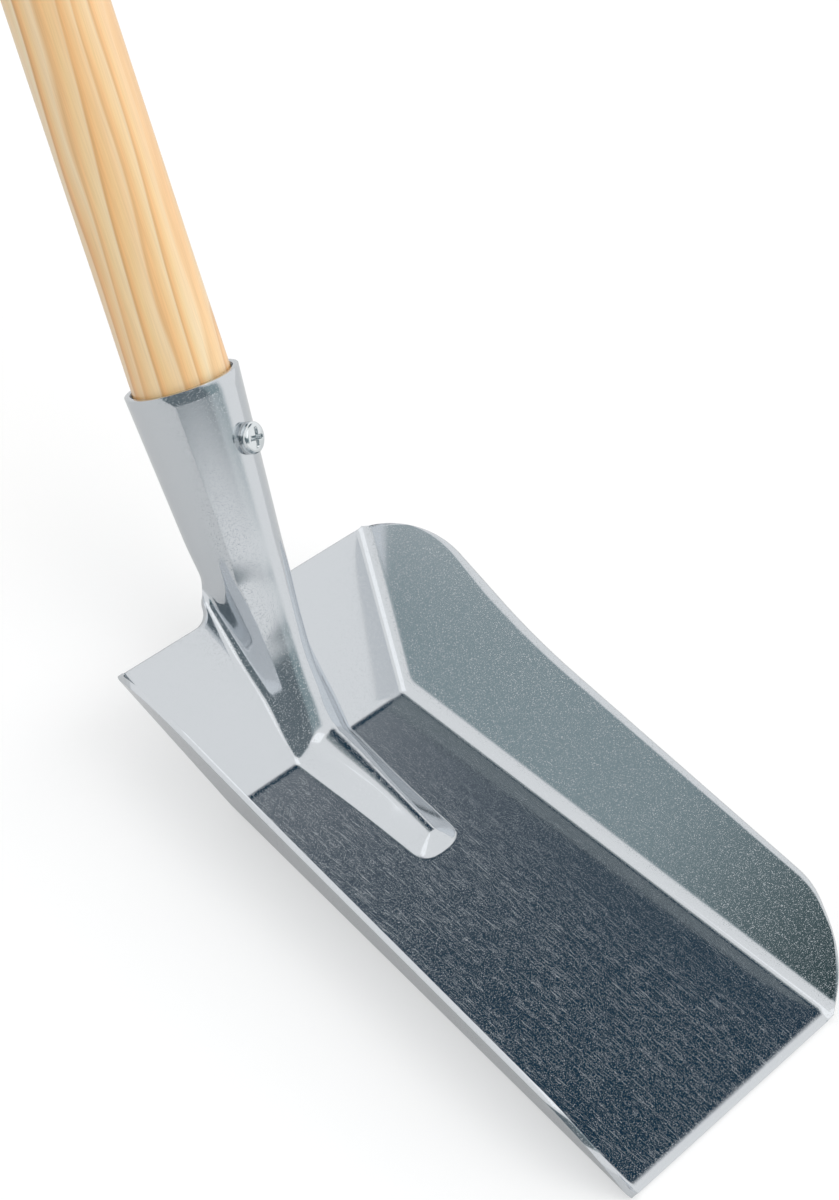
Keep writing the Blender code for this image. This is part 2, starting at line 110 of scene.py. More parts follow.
# %% [markdown]
# ## The studio
#
# Bright metal shows what is round it, so the room matters as much as the plating. A room
# that is white all over makes the sheet look like paper, and a plain grey one like lead.
# A photographer hangs grey cards and black flags round the table instead, and so does
# this world, which is light by direction. It is white, less a grey band low in front,
# which the far side wall, the ridge and the socket mirror, and three soft flags: two for
# the floor of the scoop and one for the front of the far wall. The camera sees plain
# white behind the shovel, and the floor is white too and keeps its shadow.

# %% Studio sizes
WHITE = (1.0, 1.0, 1.0, 1.0)
# Strength for rays that leave matt surfaces. The camera and mirrors see a strength of 1.
ROOM_LIGHT = 1.32
FLAGS = [
    # towards, full and ending angles from there, the light left
    ((0.633, 0.112, 0.766), radians(4), radians(20), (0.012, 0.040, 0.070)),
    ((0.387, 0.206, 0.899), radians(5), radians(20), (0.28, 0.32, 0.33)),
    ((-0.8996, -0.1105, 0.4226), radians(7), radians(12), (0.03, 0.06, 0.065)),
]
# The band ends above at an angle over the plane square to BAND_UP, and below at an angle
# over the plane square to the socket's axis. A minus sign is an angle under that plane.
BAND_UP = (0.1403, 0.3473, 0.9272)
BAND_TOP, BAND_TOP_SOFT = radians(22.5), radians(2.5)
SOCKET_WAY = (0.0, 0.6947, 0.7193)
BAND_FOOT, BAND_FOOT_SOFT = radians(-19.6), radians(2)
BAND_FRONT = (-0.6428, -0.7660, 0.0)
BAND_ENDS = [
    # angle from the front, half the soft edge there, the light left inside
    (radians(73), radians(7), (0.29, 0.37, 0.39)),
    (radians(48), radians(6), (0.16, 0.195, 0.215)),
]
CLEAR_RAYS = ("Is Camera Ray", "Is Transmission Ray")


# %% World
def any_ray(tree, kinds):
    """1 on a ray of any of these kinds and 0 on the others: the largest of their values."""
    path = add(tree, "ShaderNodeLightPath").outputs
    seen = path[kinds[0]]
    for kind in kinds[1:]:
        seen = add(tree, "ShaderNodeMath", {0: seen, 1: path[kind]}, operation="MAXIMUM").outputs[0]
    return seen


def within(tree, way, axis, full, gone):
    """1 where the angle from an axis is under full, 0 past gone, and smooth between."""
    near = add(tree, "ShaderNodeVectorMath", {0: way, 1: axis}, operation="DOT_PRODUCT")
    return add(tree, "ShaderNodeMapRange", {
        "Value": near.outputs["Value"], "From Min": cos(gone), "From Max": cos(full)},
        interpolation_type="SMOOTHSTEP").outputs["Result"]


def darken(tree, light, share, left):
    """The light as it is where the share is 0, and what is left of it where it is 1."""
    return add(tree, "ShaderNodeMix", {"Factor": share, 6: light, 7: (*left, 1.0)},
               data_type="RGBA").outputs[2]


def light_by_direction(tree):
    """White, less the grey band, which is darkest in the middle, and less the flags."""
    way = add(tree, "ShaderNodeTexCoord").outputs["Generated"]
    top, foot = pi / 2 - BAND_TOP, pi / 2 - BAND_FOOT
    above = within(tree, way, BAND_UP, top - BAND_TOP_SOFT, top + BAND_TOP_SOFT)
    over_foot = within(tree, way, SOCKET_WAY, foot - BAND_FOOT_SOFT, foot + BAND_FOOT_SOFT)
    between = add(tree, "ShaderNodeMath", {0: over_foot, 1: above}, operation="SUBTRACT", use_clamp=True)
    light = WHITE
    for ending, soft, left in BAND_ENDS:
        front = within(tree, way, BAND_FRONT, ending - soft, ending + soft)
        band = add(tree, "ShaderNodeMath", {0: between.outputs[0], 1: front}, operation="MULTIPLY")
        light = darken(tree, light, band.outputs[0], left)
    for towards, full, ending, left in reversed(FLAGS):
        light = darken(tree, light, within(tree, way, towards, full, ending), left)
    return light


def build_world():
    """Plain white for the camera, and light by direction for metal and matt surfaces."""
    world = bpy.data.worlds.new("studio")
    bpy.context.scene.world = world
    world.use_nodes = True
    tree = world.node_tree
    tree.nodes.clear()
    clear = any_ray(tree, CLEAR_RAYS)
    seen = any_ray(tree, (*CLEAR_RAYS, "Is Glossy Ray"))
    colour = add(tree, "ShaderNodeMix", {
        "Factor": clear, 6: light_by_direction(tree), 7: WHITE}, data_type="RGBA")
    strength = add(tree, "ShaderNodeMapRange", {"Value": seen, "To Min": ROOM_LIGHT, "To Max": 1.0})
    room = add(tree, "ShaderNodeBackground", {"Color": colour.outputs[2], "Strength": strength.outputs[0]})
    add(tree, "ShaderNodeOutputWorld", {"Surface": room.outputs[0]})
    print("world with", len(BAND_ENDS), "shades of grey band and", len(FLAGS), "flags")


build_world()

# %% Floor
FLOOR_HALF = 4.0
FLOOR_GAP = 0.0002
# What is added to the lit paper to make it white: for the camera, and in the metal
FLOOR_GLOW = 0.49
MIRRORED_GLOW = 0.22
PAPER = "#bababa"


def build_floor():
    """A square of paper, a fifth of a millimetre under the shovel so that they don't touch."""
    mesh = bpy.data.meshes.new("studio_floor")
    square = ((-1, -1), (1, -1), (1, 1), (-1, 1))
    corners = [(x * FLOOR_HALF, y * FLOOR_HALF, -FLOOR_GAP) for x, y in square]
    mesh.from_pydata(corners, [], [(0, 1, 2, 3)])
    floor = bpy.data.objects.new("studio_floor", mesh)
    bpy.context.scene.collection.objects.link(floor)
    mat, tree = new_material("white_paper_sweep")
    clear = any_ray(tree, CLEAR_RAYS)
    mirrored = any_ray(tree, ("Is Glossy Ray",))
    shown = add(tree, "ShaderNodeMath", {0: clear, 1: FLOOR_GLOW}, operation="MULTIPLY")
    strength = add(tree, "ShaderNodeMath", {
        0: mirrored, 1: MIRRORED_GLOW, 2: shown.outputs[0]}, operation="MULTIPLY_ADD")
    glow = add(tree, "ShaderNodeEmission", {"Color": WHITE, "Strength": strength.outputs[0]})
    paper = add(tree, "ShaderNodeBsdfDiffuse", {"Color": linear(PAPER)})
    both = add(tree, "ShaderNodeAddShader", {0: paper.outputs[0], 1: glow.outputs[0]})
    finish_material(mat, both.outputs[0])
    mesh.materials.append(mat)


build_floor()

# %% Lamp
LAMP_PLACE = (-0.25, -0.55, 1.70)
LAMP_SIZE = 1.2
LAMP_WATTS = 1.4


def build_lamp():
    """A faint square softbox high up in front of the lip, turned to the scoop, so that the
    even light of the room gets a side."""
    data = bpy.data.lights.new("softbox_above", "AREA")
    data.shape = "SQUARE"
    data.size = LAMP_SIZE
    data.energy = LAMP_WATTS
    lamp = bpy.data.objects.new("softbox_above", data)
    lamp.location = LAMP_PLACE
    lamp.rotation_euler = lamp.location.to_track_quat("Z", "Y").to_euler()
    bpy.context.scene.collection.objects.link(lamp)
    print("softbox at", LAMP_PLACE)


build_lamp()
bpy.context.scene.view_settings.view_transform = "Standard"

# %% [markdown]
# ## Small formulas
#
# Three curves do most of the work: an easing step, the larger of two planes with a
# rounded bend where they cross, and a smooth curve through a few known sizes.

# %% Curves
def ease(t):
    """3t^2 - 2t^3: goes smoothly from 0 to 1 as t does."""
    t = np.clip(t, 0.0, 1.0)
    return t * t * (3 - 2 * t)


def blend_up(a, b, width):
    """max(a, b), plus a parabola (width - |a - b|)^2 / 4 width where they cross."""
    return np.maximum(a, b) + np.maximum(width - np.abs(a - b), 0.0) ** 2 / (4 * width)


def through(knots, x):
    """Cubic pieces through the knots, whose slopes agree where two pieces meet."""
    xs, ys = np.array(knots, float).T
    slopes = np.gradient(ys, xs)
    i = np.clip(np.searchsorted(xs, x) - 1, 0, len(xs) - 2)
    span = xs[i + 1] - xs[i]
    t = (x - xs[i]) / span
    rise = (3 - 2 * t) * t * t
    return (ys[i] * (1 - rise) + ys[i + 1] * rise
            + span * slopes[i] * t * (1 - t) ** 2 - span * slopes[i + 1] * t * t * (1 - t))


def rounded_path(corners, radii, steps):
    """Straight sides through the corners, with each inner corner swept as an arc."""
    corners = np.array(corners, float)
    path = [corners[:1]]
    t = np.linspace(0, 1, steps)[:, None]
    for before, corner, after, radius in zip(corners, corners[1:], corners[2:], radii):
        back = (before - corner) / np.linalg.norm(before - corner)
        ahead = (after - corner) / np.linalg.norm(after - corner)
        half = np.arccos(back @ ahead) / 2
        centre = corner + (back + ahead) / np.linalg.norm(back + ahead) * radius / sin(half)
        start = corner + back * radius / tan(half) - centre
        end = corner + ahead * radius / tan(half) - centre
        spokes = start * (1 - t) + end * t
        path.append(centre + spokes * radius / np.linalg.norm(spokes, axis=1)[:, None])
    path.append(corners[-1:])
    return np.concatenate(path)


# %% [markdown]
# ## The scoop's planes
#
# The blank is folded along three creases: two for the side walls, which flare and spread
# towards the lip, and one for the back wall. Flat panels with a bevel in each crease would
# do, but they meet badly in the two rear corners. Here the upper face is the highest of
# the planes at each point, with a small radius in each crease, so the corners come right
# by themselves. Coordinates start at the middle of the fold between floor and back wall,
# with the lip towards -Y.

# %% Scoop sizes
SHEET = 0.0016
FLOOR_LENGTH = 0.1558
REAR_WIDTH = 0.0765
LIP_WIDTH = 0.0991
WALL_FLARE = radians(34.9)
BACK_RISE = radians(32.1)
BACK_HEIGHT = 0.0475
SIDE_BEND = 0.0034
FOLD_BEND = 0.0010
# How far the close rows and columns reach to each side of a crease
SIDE_BEND_REACH = 1.3 * SIDE_BEND * tan(WALL_FLARE)
FOLD_BEND_REACH = 1.6 * FOLD_BEND
TOP_EDGE_FILLET = 0.0040
TOP_EDGE_SPREAD = 0.0058
TOP_EDGE_START = 0.6 * BACK_HEIGHT
FRAME_SHIFT = np.array([0.0, FLOOR_LENGTH / 2, SHEET])

# Corners of a side wall's rim, as (distance along the floor's edge, height up the wall)
CROWN = (-0.0270, 0.0455)
SHOULDER = (0.0230, 0.0353)
FRONT_TOP_BEHIND_LIP, FRONT_TOP_HEIGHT = 0.0266, 0.0270
FRONT_LOW_BEHIND_LIP, FRONT_LOW_HEIGHT = 0.0078, 0.0154
RIM_RADII = (0.040, 0.024, 0.250, 0.029)
RIM_ARC_STEPS = 40


# %% Side wall and its rim
def scoop_frame():
    """Directions along and up the right wall, and its rear corner where both planes meet."""
    run = np.array([(LIP_WIDTH - REAR_WIDTH) / 2, -FLOOR_LENGTH])
    edge_length = np.linalg.norm(run)
    along = np.array([*(run / edge_length), 0.0])
    outward = np.array([-along[1], along[0]])
    up_wall = np.array([*(outward * sin(WALL_FLARE)), cos(WALL_FLARE)])
    corner_up = BACK_HEIGHT * sin(BACK_RISE) / up_wall[2]
    corner_along = (BACK_HEIGHT * cos(BACK_RISE) - corner_up * up_wall[1]) / along[1]
    return edge_length, along, outward, up_wall, (corner_along, corner_up)


EDGE_LENGTH, ALONG, OUTWARD, UP_WALL, REAR_CORNER = scoop_frame()
RIM = rounded_path([
    (EDGE_LENGTH, 0.0),
    (EDGE_LENGTH - FRONT_LOW_BEHIND_LIP, FRONT_LOW_HEIGHT),
    (EDGE_LENGTH - FRONT_TOP_BEHIND_LIP, FRONT_TOP_HEIGHT),
    SHOULDER, CROWN, REAR_CORNER], RIM_RADII, RIM_ARC_STEPS)
RIM_RUN = np.concatenate([[0.0], np.cumsum(np.linalg.norm(np.diff(RIM, axis=0), axis=1))])
print("rim of a side wall", round(RIM_RUN[-1] * 1000, 1), "mm")


def rim_point(run):
    """The rim's wall coordinates at a distance along it from the lip."""
    return np.stack([np.interp(run, RIM_RUN, RIM[:, 0]), np.interp(run, RIM_RUN, RIM[:, 1])], -1)


def sheet_height(x, y):
    """Upper face without the ridge: floor, back wall and side wall, blended in that order."""
    wall = ((np.abs(x) - REAR_WIDTH / 2) * OUTWARD[0] + y * OUTWARD[1]) / tan(WALL_FLARE)
    return blend_up(blend_up(0.0, y * tan(BACK_RISE), FOLD_BEND), wall, SIDE_BEND)


def crease_x(y):
    """Where the side wall meets the floor, or the back wall behind the fold."""
    rise = np.maximum(y, 0.0) * tan(BACK_RISE) * tan(WALL_FLARE)
    return REAR_WIDTH / 2 + (rise - y * OUTWARD[1]) / OUTWARD[0]


# %% [markdown]
# ## The ridge, the neck and the socket
#
# A ridge is pressed down the back wall and out on the floor, so that the thin sheet can
# carry the handle's pull. Its section is an arc with a fillet at each foot, and its width
# and height change along it. Sculpting or lifting a plain grid would smear its sides, so a
# section worked out from those sizes is carried along the sheet's middle line. Past the
# top edge the same sheet leaves the back wall as a tongue and is rolled round an axis that
# leans back, with an open seam behind.

# %% Ridge and socket sizes
NOSE_AHEAD = 0.0408
NOSE_LENGTH = 0.0068
NOSE_SQUARENESS = 2.8
RIDGE_SIZES = [
    # distance from the fold, half width, height, foot fillet, crest radius
    (-NOSE_AHEAD, 0.0095, 0.0033, 0.0020, 0.0051),
    (-0.022, 0.01055, 0.0054, 0.0018, 0.0065),
    (-0.005, 0.0123, 0.0069, 0.0025, 0.0108),
    (0.008, 0.0136, 0.0077, 0.0036, 0.0104),
    (0.022, 0.0141, 0.0089, 0.0048, 0.0100),
    (0.035, 0.0150, 0.0122, 0.0042, 0.0106),
]
FOLD_REACH = 0.009
LEAN_REACH = 0.024
SOCKET_LIFT = radians(46.0)
SOCKET_LENGTH = 0.0663
NECK_LENGTH = 0.0220
NECK_WIDTH = 0.0295
NECK_FILLET = 0.0022
NECK_EDGE_PULL = 0.5
AXIS_ABOVE_TOP_EDGE = 0.0032
MOUTH_RADIUS = 0.0167
TAPER = 0.0713
SEAM_GAP = 0.0012
SOCKET_UP = np.array([-sin(SOCKET_LIFT), cos(SOCKET_LIFT)])
TUBE_LENGTH = SOCKET_LENGTH - NECK_LENGTH
NECK_STATION = BACK_HEIGHT + TOP_EDGE_FILLET


# %% Socket
def axis_point(below_mouth):
    """Points on the socket's axis as y and z: down from the mouth along the lean."""
    top_edge = BACK_HEIGHT * np.array([cos(BACK_RISE), sin(BACK_RISE)])
    axis = np.array([cos(SOCKET_LIFT), sin(SOCKET_LIFT)])
    along = SOCKET_LENGTH - np.asarray(below_mouth)[..., None]
    return top_edge + AXIS_ABOVE_TOP_EDGE * SOCKET_UP + along * axis


def socket_points(below_mouth, turns):
    """Cone: centre + radius (sin turn across, cos turn up), radius falling with depth."""
    below_mouth, turns = np.broadcast_arrays(below_mouth, turns)
    radius = MOUTH_RADIUS - TAPER * below_mouth
    yz = axis_point(below_mouth) + (radius * np.cos(turns))[..., None] * SOCKET_UP
    return np.concatenate([(radius * np.sin(turns))[..., None], yz], -1)


def ridge_top_height():
    """Height of the socket's front over the back wall's plane, at the neck."""
    up = np.array([-sin(BACK_RISE), cos(BACK_RISE)])
    slant = np.array([cos(BACK_RISE), sin(BACK_RISE)])
    ends = socket_points(np.array([SOCKET_LENGTH, 0.0]), np.zeros(2))[:, 1:]
    share = (NECK_STATION - ends[0] @ slant) / ((ends[1] - ends[0]) @ slant)
    return float((ends[0] + share * (ends[1] - ends[0])) @ up)


NECK_HEIGHT = ridge_top_height()
print("ridge stands", round(NECK_HEIGHT * 1000, 1), "mm over the back wall at the neck")

# %% Ridge
NECK = (NECK_STATION, NECK_WIDTH / 2, NECK_HEIGHT, NECK_FILLET, NECK_WIDTH / 2 - NECK_FILLET)
RIDGE = np.array(RIDGE_SIZES + [NECK])
ARC_STEPS, SIDE_STEPS, FILLET_STEPS = 24, 6, 8


def ridge_section(half_width, height, fillet, radius):
    """An arc, a straight side and the foot fillet, crest first. With q = radius + fillet
    the side's slope is atan2(w, q - h) - acos(q / hypot(w, q - h))."""
    low = np.minimum(height, half_width)
    both = np.minimum(radius + fillet, (half_width ** 2 + low ** 2) / (2 * low))
    radius = both - fillet
    turn = np.arctan2(half_width, both - height) - np.arccos(both / np.hypot(half_width, both - height))
    crest = turn * np.linspace(0, 1, ARC_STEPS + 1)
    foot = turn * np.linspace(1, 0, FILLET_STEPS + 1)
    arc_x, arc_rise = radius * np.sin(crest), height - radius + radius * np.cos(crest)
    foot_x, foot_rise = half_width - fillet * np.sin(foot), fillet - fillet * np.cos(foot)
    side = np.linspace(0, 1, SIDE_STEPS + 1)[1:-1]
    side_x = arc_x[:, -1:] + side * (foot_x[:, :1] - arc_x[:, -1:])
    side_rise = arc_rise[:, -1:] + side * (foot_rise[:, :1] - arc_rise[:, -1:])
    return np.concatenate([arc_x, side_x, foot_x], 1), np.concatenate([arc_rise, side_rise, foot_rise], 1)


def path_point(station):
    """The sheet's middle line without the ridge, as y and z."""
    y = np.where(station > 0, station * cos(BACK_RISE), station)
    return y, blend_up(0.0, y * tan(BACK_RISE), FOLD_BEND)


def ridge_points(station):
    """Half sections in space: rises lean back as the path turns up the back wall. Ahead of
    the nose's start each section shrinks inside the superellipse x^p + ahead^p = 1."""
    station = np.asarray(station, float)[:, None]
    held = np.maximum(station, -NOSE_AHEAD)
    half_width, height, fillet, radius = (through(RIDGE[:, [0, k]], held) for k in (1, 2, 3, 4))
    x, rise = ridge_section(half_width, height, fillet, radius)
    section = x[0], rise[0]
    ahead = np.maximum(-NOSE_AHEAD - station, 0.0) / NOSE_LENGTH
    p = NOSE_SQUARENESS
    x = x * (1 - (np.minimum(ahead, 1.0) * x / half_width) ** p / 2) ** (1 / p)
    reach = ((x / half_width) ** p + ahead ** p) ** (1 / p) * half_width
    rise = np.where(ahead > 0, np.interp(reach, *section), rise)
    lean = BACK_RISE * ease(station / LEAN_REACH)
    y, z = path_point(station)
    return np.stack([x, y - rise * np.sin(lean), z + rise * np.cos(lean)], -1)


# %% [markdown]
# ## The sheet as one grid
#
# Rows cross the scoop and columns run along it from the lip to the socket's mouth, so
# the ridge, the neck and the tube share their columns and the plating has no seam. Rows
# and columns are close together where the sheet bends and wide apart where it is flat.
#
# The socket could be a tube that is joined on, but the join would leave a line.
#
# The lip is ground on its upper edge, which gives a bright line there. The grid drops
# by a millimetre at the lip, and a vertex group takes the same off the sheet's thickness.

# %% Rows
ROW_COUNTS = (18, 10, 22, 26, 12, 14, 12, 34)
NOSE_ROWS_REACH = 1.25 * NOSE_LENGTH
LIP_CORNER_REACH = 1.45 * FRONT_TOP_BEHIND_LIP


def row_stations():
    """Distances from the fold, lip first."""
    stops = [-FLOOR_LENGTH, LIP_CORNER_REACH - EDGE_LENGTH, -NOSE_AHEAD - NOSE_ROWS_REACH, -NOSE_AHEAD,
             -FOLD_REACH, -FOLD_BEND_REACH, FOLD_BEND_REACH, FOLD_REACH, BACK_HEIGHT]
    parts = [np.array([stops[0]])]
    for k, count in enumerate(ROW_COUNTS):
        t = np.linspace(0, 1, count + 1)[1:]
        parts.append(stops[k] + (stops[k + 1] - stops[k]) * t)
    return np.concatenate(parts)


print(len(row_stations()), "rows from the lip to the top edge")

# %% Grid of a side wall
BEND_STEPS, WALL_STEPS = 16, 14
LIP_CORNER_RUN = 0.6 * (FRONT_TOP_HEIGHT + FRONT_LOW_BEHIND_LIP)
# How far from the lip and from the top edge the rows still bow
LIP_FADE = 0.030
REAR_FADE = 0.030
BOW_SAMPLES = 200


def wall_rows(stations):
    """For each row, its foot on the crease and its end on the rim."""
    back = np.clip(stations / BACK_HEIGHT, 0, 1)[:, None] * np.array(REAR_CORNER)
    floor = np.column_stack([-np.minimum(stations, 0) * EDGE_LENGTH / FLOOR_LENGTH, 0 * stations])
    feet = back + floor
    total = RIM_RUN[-1]
    square = np.interp(-feet[:, 0], -RIM[:, 0], RIM_RUN)
    rear_end = total - RIM_RADII[-1] / 2
    share = (square - square[0]) / (square[-1] - square[0])
    even = LIP_CORNER_RUN + share * (rear_end - LIP_CORNER_RUN)
    reach = 2 * CROWN[1]
    hold = ease(square / reach) * ease((total - square) / reach)
    return feet, even * (1 - hold) + square * hold


def wall_points(stations):
    """Rows up the side wall. The first and last follow the rim, and those near them bow."""
    feet, runs = wall_rows(stations)
    tips = rim_point(runs)
    length = np.linalg.norm(tips - feet, axis=1)[:, None]
    first = SIDE_BEND_REACH / sin(WALL_FLARE)
    near = first * np.linspace(0, 1, BEND_STEPS // 2 + 1)[1:]
    share = np.concatenate([near / length, first / length + (1 - first / length)
                            * np.linspace(0, 1, WALL_STEPS + 1)[1:]], 1)
    line = feet[:, None] + share[..., None] * (tips - feet)[:, None]
    steps = np.linspace(0, 1, BOW_SAMPLES)
    lip_share = np.clip(1 - (stations - stations[0]) / LIP_FADE, 0, 1) ** 2
    rear_share = np.clip(1 - (stations[-1] - stations) / REAR_FADE, 0, 1) ** 2
    for weight, start, end in ((lip_share, 0.0, runs[0]), (rear_share, RIM_RUN[-1], runs[-1])):
        curve = rim_point(start + (end - start) * steps)
        bow = curve - curve[0] - steps[:, None] * (curve[-1] - curve[0])
        bent = np.stack([np.interp(share, steps, bow[:, k]) for k in (0, 1)], -1)
        line = line + weight[:, None, None] * bent
    x = REAR_WIDTH / 2 + line @ np.array([ALONG[0], UP_WALL[0]])
    y = line @ np.array([ALONG[1], UP_WALL[1]])
    return np.stack([x, y, sheet_height(x, y)], -1)


# %% Scoop with its ground lip
SKIRT_STEPS, FLAT_STEPS = 6, 8
LIP_GROUND = 0.00105
LIP_GROUND_LENGTH = 0.0015


def lip_drop(stations, x):
    """How far the lip's upper edge is ground down: falls evenly to 0 over the ground length
    and eases to 0 at the side bends."""
    along = np.clip(1 - (stations - stations[0]) / LIP_GROUND_LENGTH, 0, 1)
    inside = ease((LIP_WIDTH / 2 - np.abs(x[0])) / SIDE_BEND_REACH)
    return LIP_GROUND * along[:, None] * inside


def scoop_points():
    """The right half of the scoop: ridge, skirt, flat, bend and wall. Towards the top edge
    the skirt turns up through a quarter circle into the neck."""
    stations = row_stations()
    lift = ease((stations - TOP_EDGE_START) / (BACK_HEIGHT - TOP_EDGE_START))
    ridge = ridge_points(stations + TOP_EDGE_FILLET * lift)
    turn = np.linspace(pi / 2, 0, SKIRT_STEPS + 1)[1:]
    skirt_x = ridge[:, -1, :1] + TOP_EDGE_SPREAD * (1 - np.sin(turn))
    skirt_y, skirt_z = path_point(stations[:, None] + TOP_EDGE_FILLET * lift[:, None] * (1 - np.cos(turn)))
    skirt = np.stack([skirt_x, skirt_y, skirt_z], -1)
    y = path_point(stations)[0][:, None]
    crease = crease_x(y)
    flat_share = np.linspace(0, 1, FLAT_STEPS + 1)[1:]
    flat = skirt_x[:, -1:] + flat_share * (crease - SIDE_BEND_REACH - skirt_x[:, -1:])
    bend = crease + np.linspace(-SIDE_BEND_REACH, 0, BEND_STEPS // 2 + 1)[1:]
    x = np.concatenate([flat, bend], 1)
    floor = np.stack([x, y + 0 * x, sheet_height(x, y)], -1)
    points = np.concatenate([ridge, skirt, floor, wall_points(stations)], 1)
    points[..., 2] -= lip_drop(stations, points[..., 0])
    return points


# %% Tongue and tube
NECK_STEPS, TUBE_STEPS = 26, 12


def neck_points():
    """The tongue: cubics from the neck's section to the tube's first ring, then the tube."""
    nudge = TOP_EDGE_FILLET / 8
    start = ridge_points([NECK_STATION, NECK_STATION - nudge])
    start_slope = (start[0] - start[1]) / nudge
    columns = ARC_STEPS + SIDE_STEPS + FILLET_STEPS + 1

    def rings(below_mouth):
        """The cone from its front round to half the seam's gap, at each depth."""
        below_mouth = np.asarray(below_mouth, float)[:, None]
        half_gap = SEAM_GAP / 2 / (MOUTH_RADIUS - TAPER * below_mouth)
        return socket_points(below_mouth, np.linspace(0, 1, columns) * (pi - half_gap))

    end = rings([TUBE_LENGTH, TUBE_LENGTH - nudge])
    end_slope = (end[1] - end[0]) / nudge
    reach = np.linalg.norm(end[0] - start[0], axis=1)[:, None]
    pull = reach * np.linspace(1, NECK_EDGE_PULL, columns)[:, None]
    t = np.linspace(0, 1, NECK_STEPS + 1)[1:, None, None]
    rise = (3 - 2 * t) * t * t
    tongue = (start[0] * (1 - rise) + end[0] * rise
              + pull * start_slope * t * (1 - t) ** 2 - reach * end_slope * t * t * (1 - t))
    return np.concatenate([tongue, rings(np.linspace(TUBE_LENGTH, 0, TUBE_STEPS + 1)[1:])])


# %% Mesh from grids
def both_halves(rows):
    """Adds the mirrored left half to rows that start on the middle line."""
    left = rows[:, :0:-1] * np.array([-1.0, 1.0, 1.0])
    return np.concatenate([left, rows], axis=1)


def quads(ids):
    """Faces between the rows of a grid of vertex numbers, with their normals up."""
    return np.stack([ids[:-1, :-1], ids[:-1, 1:], ids[1:, 1:], ids[1:, :-1]], -1).reshape(-1, 4)


def fill_mesh(name, points, faces):
    """Puts arrays of points and quads into a mesh without a loop over vertices."""
    mesh = bpy.data.meshes.new(name)
    mesh.vertices.add(len(points))
    mesh.vertices.foreach_set("co", np.ascontiguousarray(points, dtype=np.float32).ravel())
    mesh.loops.add(faces.size)
    mesh.loops.foreach_set("vertex_index", faces.astype(np.int32).ravel())
    mesh.polygons.add(len(faces))
    mesh.polygons.foreach_set("loop_start", np.arange(0, faces.size, 4, dtype=np.int32))
    mesh.update(calc_edges=True)
    mesh.validate()
    mesh.shade_smooth()
    return mesh


def add_piece(name, mesh, mat, node):
    """Links a piece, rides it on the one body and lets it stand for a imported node."""
    piece = bpy.data.objects.new(name, mesh)
    bpy.context.scene.collection.objects.link(piece)
    mesh.materials.append(mat)
    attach(piece, "root")
    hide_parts(node)
    return piece


def sheet_mesh():
    """The whole sheet's upper face as one open mesh of quads."""
    scoop = both_halves(scoop_points())
    neck = both_halves(neck_points())
    points = np.concatenate([scoop.reshape(-1, 3), neck.reshape(-1, 3)]) + FRAME_SHIFT
    scoop_ids = np.arange(scoop.shape[0] * scoop.shape[1]).reshape(scoop.shape[:2])
    margin = (scoop.shape[1] - neck.shape[1]) // 2
    neck_ids = scoop_ids.size + np.arange(neck.shape[0] * neck.shape[1]).reshape(neck.shape[:2])
    neck_ids = np.concatenate([scoop_ids[-1:, margin:-margin], neck_ids])
    return fill_mesh("pressed_sheet", points, np.concatenate([quads(scoop_ids), quads(neck_ids)]))


# %% [markdown]
# ## Zinc plate over rolled steel
#
# The sheet is cold rolled, pressed and then electroplated with bright zinc. To the eye
# that is a pale, slightly blue metal that mirrors softly. Rolling leaves short fine
# streaks along the blade and long faint lines, and the plating leaves a fine speckle.
# They are finer on real sheet: they are drawn as coarse as they need to be to show. Only
# the highest grain rises, so the flat metal between it goes on mirroring the room. Noise
# on the object's own coordinates makes all three, so they run on through every bend.

# %% Zinc sheet
STREAK_WIDTH, STREAK_LENGTH = 0.00024, 0.0050
STREAK_RANGE = (0.60, 0.80)
STREAK_SHARE = 0.75
LINE_WIDTH, LINE_LENGTH = 0.0014, 0.035
LINE_RANGE = (-0.10, 0.90)
LINE_LIFT = 0.20
SPECKLE = 0.00033
SPECKLE_RANGE = (0.59, 0.78)
GRAIN_HEIGHT = 0.000028
# Upward part of the normal where the speckle of the bends gives way to the rolled streaks
FLAT_RANGE = (0.93, 0.995)
ZINC_LOW, ZINC_HIGH = "#cfd3d7", "#e3e6e7"
ZINC_ROUGHNESS = (0.09, 0.20)


def along_blade(width, length):
    """A pattern's scale on each axis, for grains of this width and length in metres."""
    return 1 / width, 1 / length, 1 / width


def grain_of(tree, vector, scale, detail, low, high):
    """Noise stretched by a scale along each axis, cut between low and high to 0 and 1."""
    placed = add(tree, "ShaderNodeMapping", {"Vector": vector, "Scale": scale})
    noise = add(tree, "ShaderNodeTexNoise", {
        "Vector": placed.outputs[0], "Scale": 1.0, "Detail": detail, "Roughness": 0.6})
    return add(tree, "ShaderNodeMapRange", {
        "Value": noise.outputs[0], "From Min": low, "From Max": high}).outputs[0]


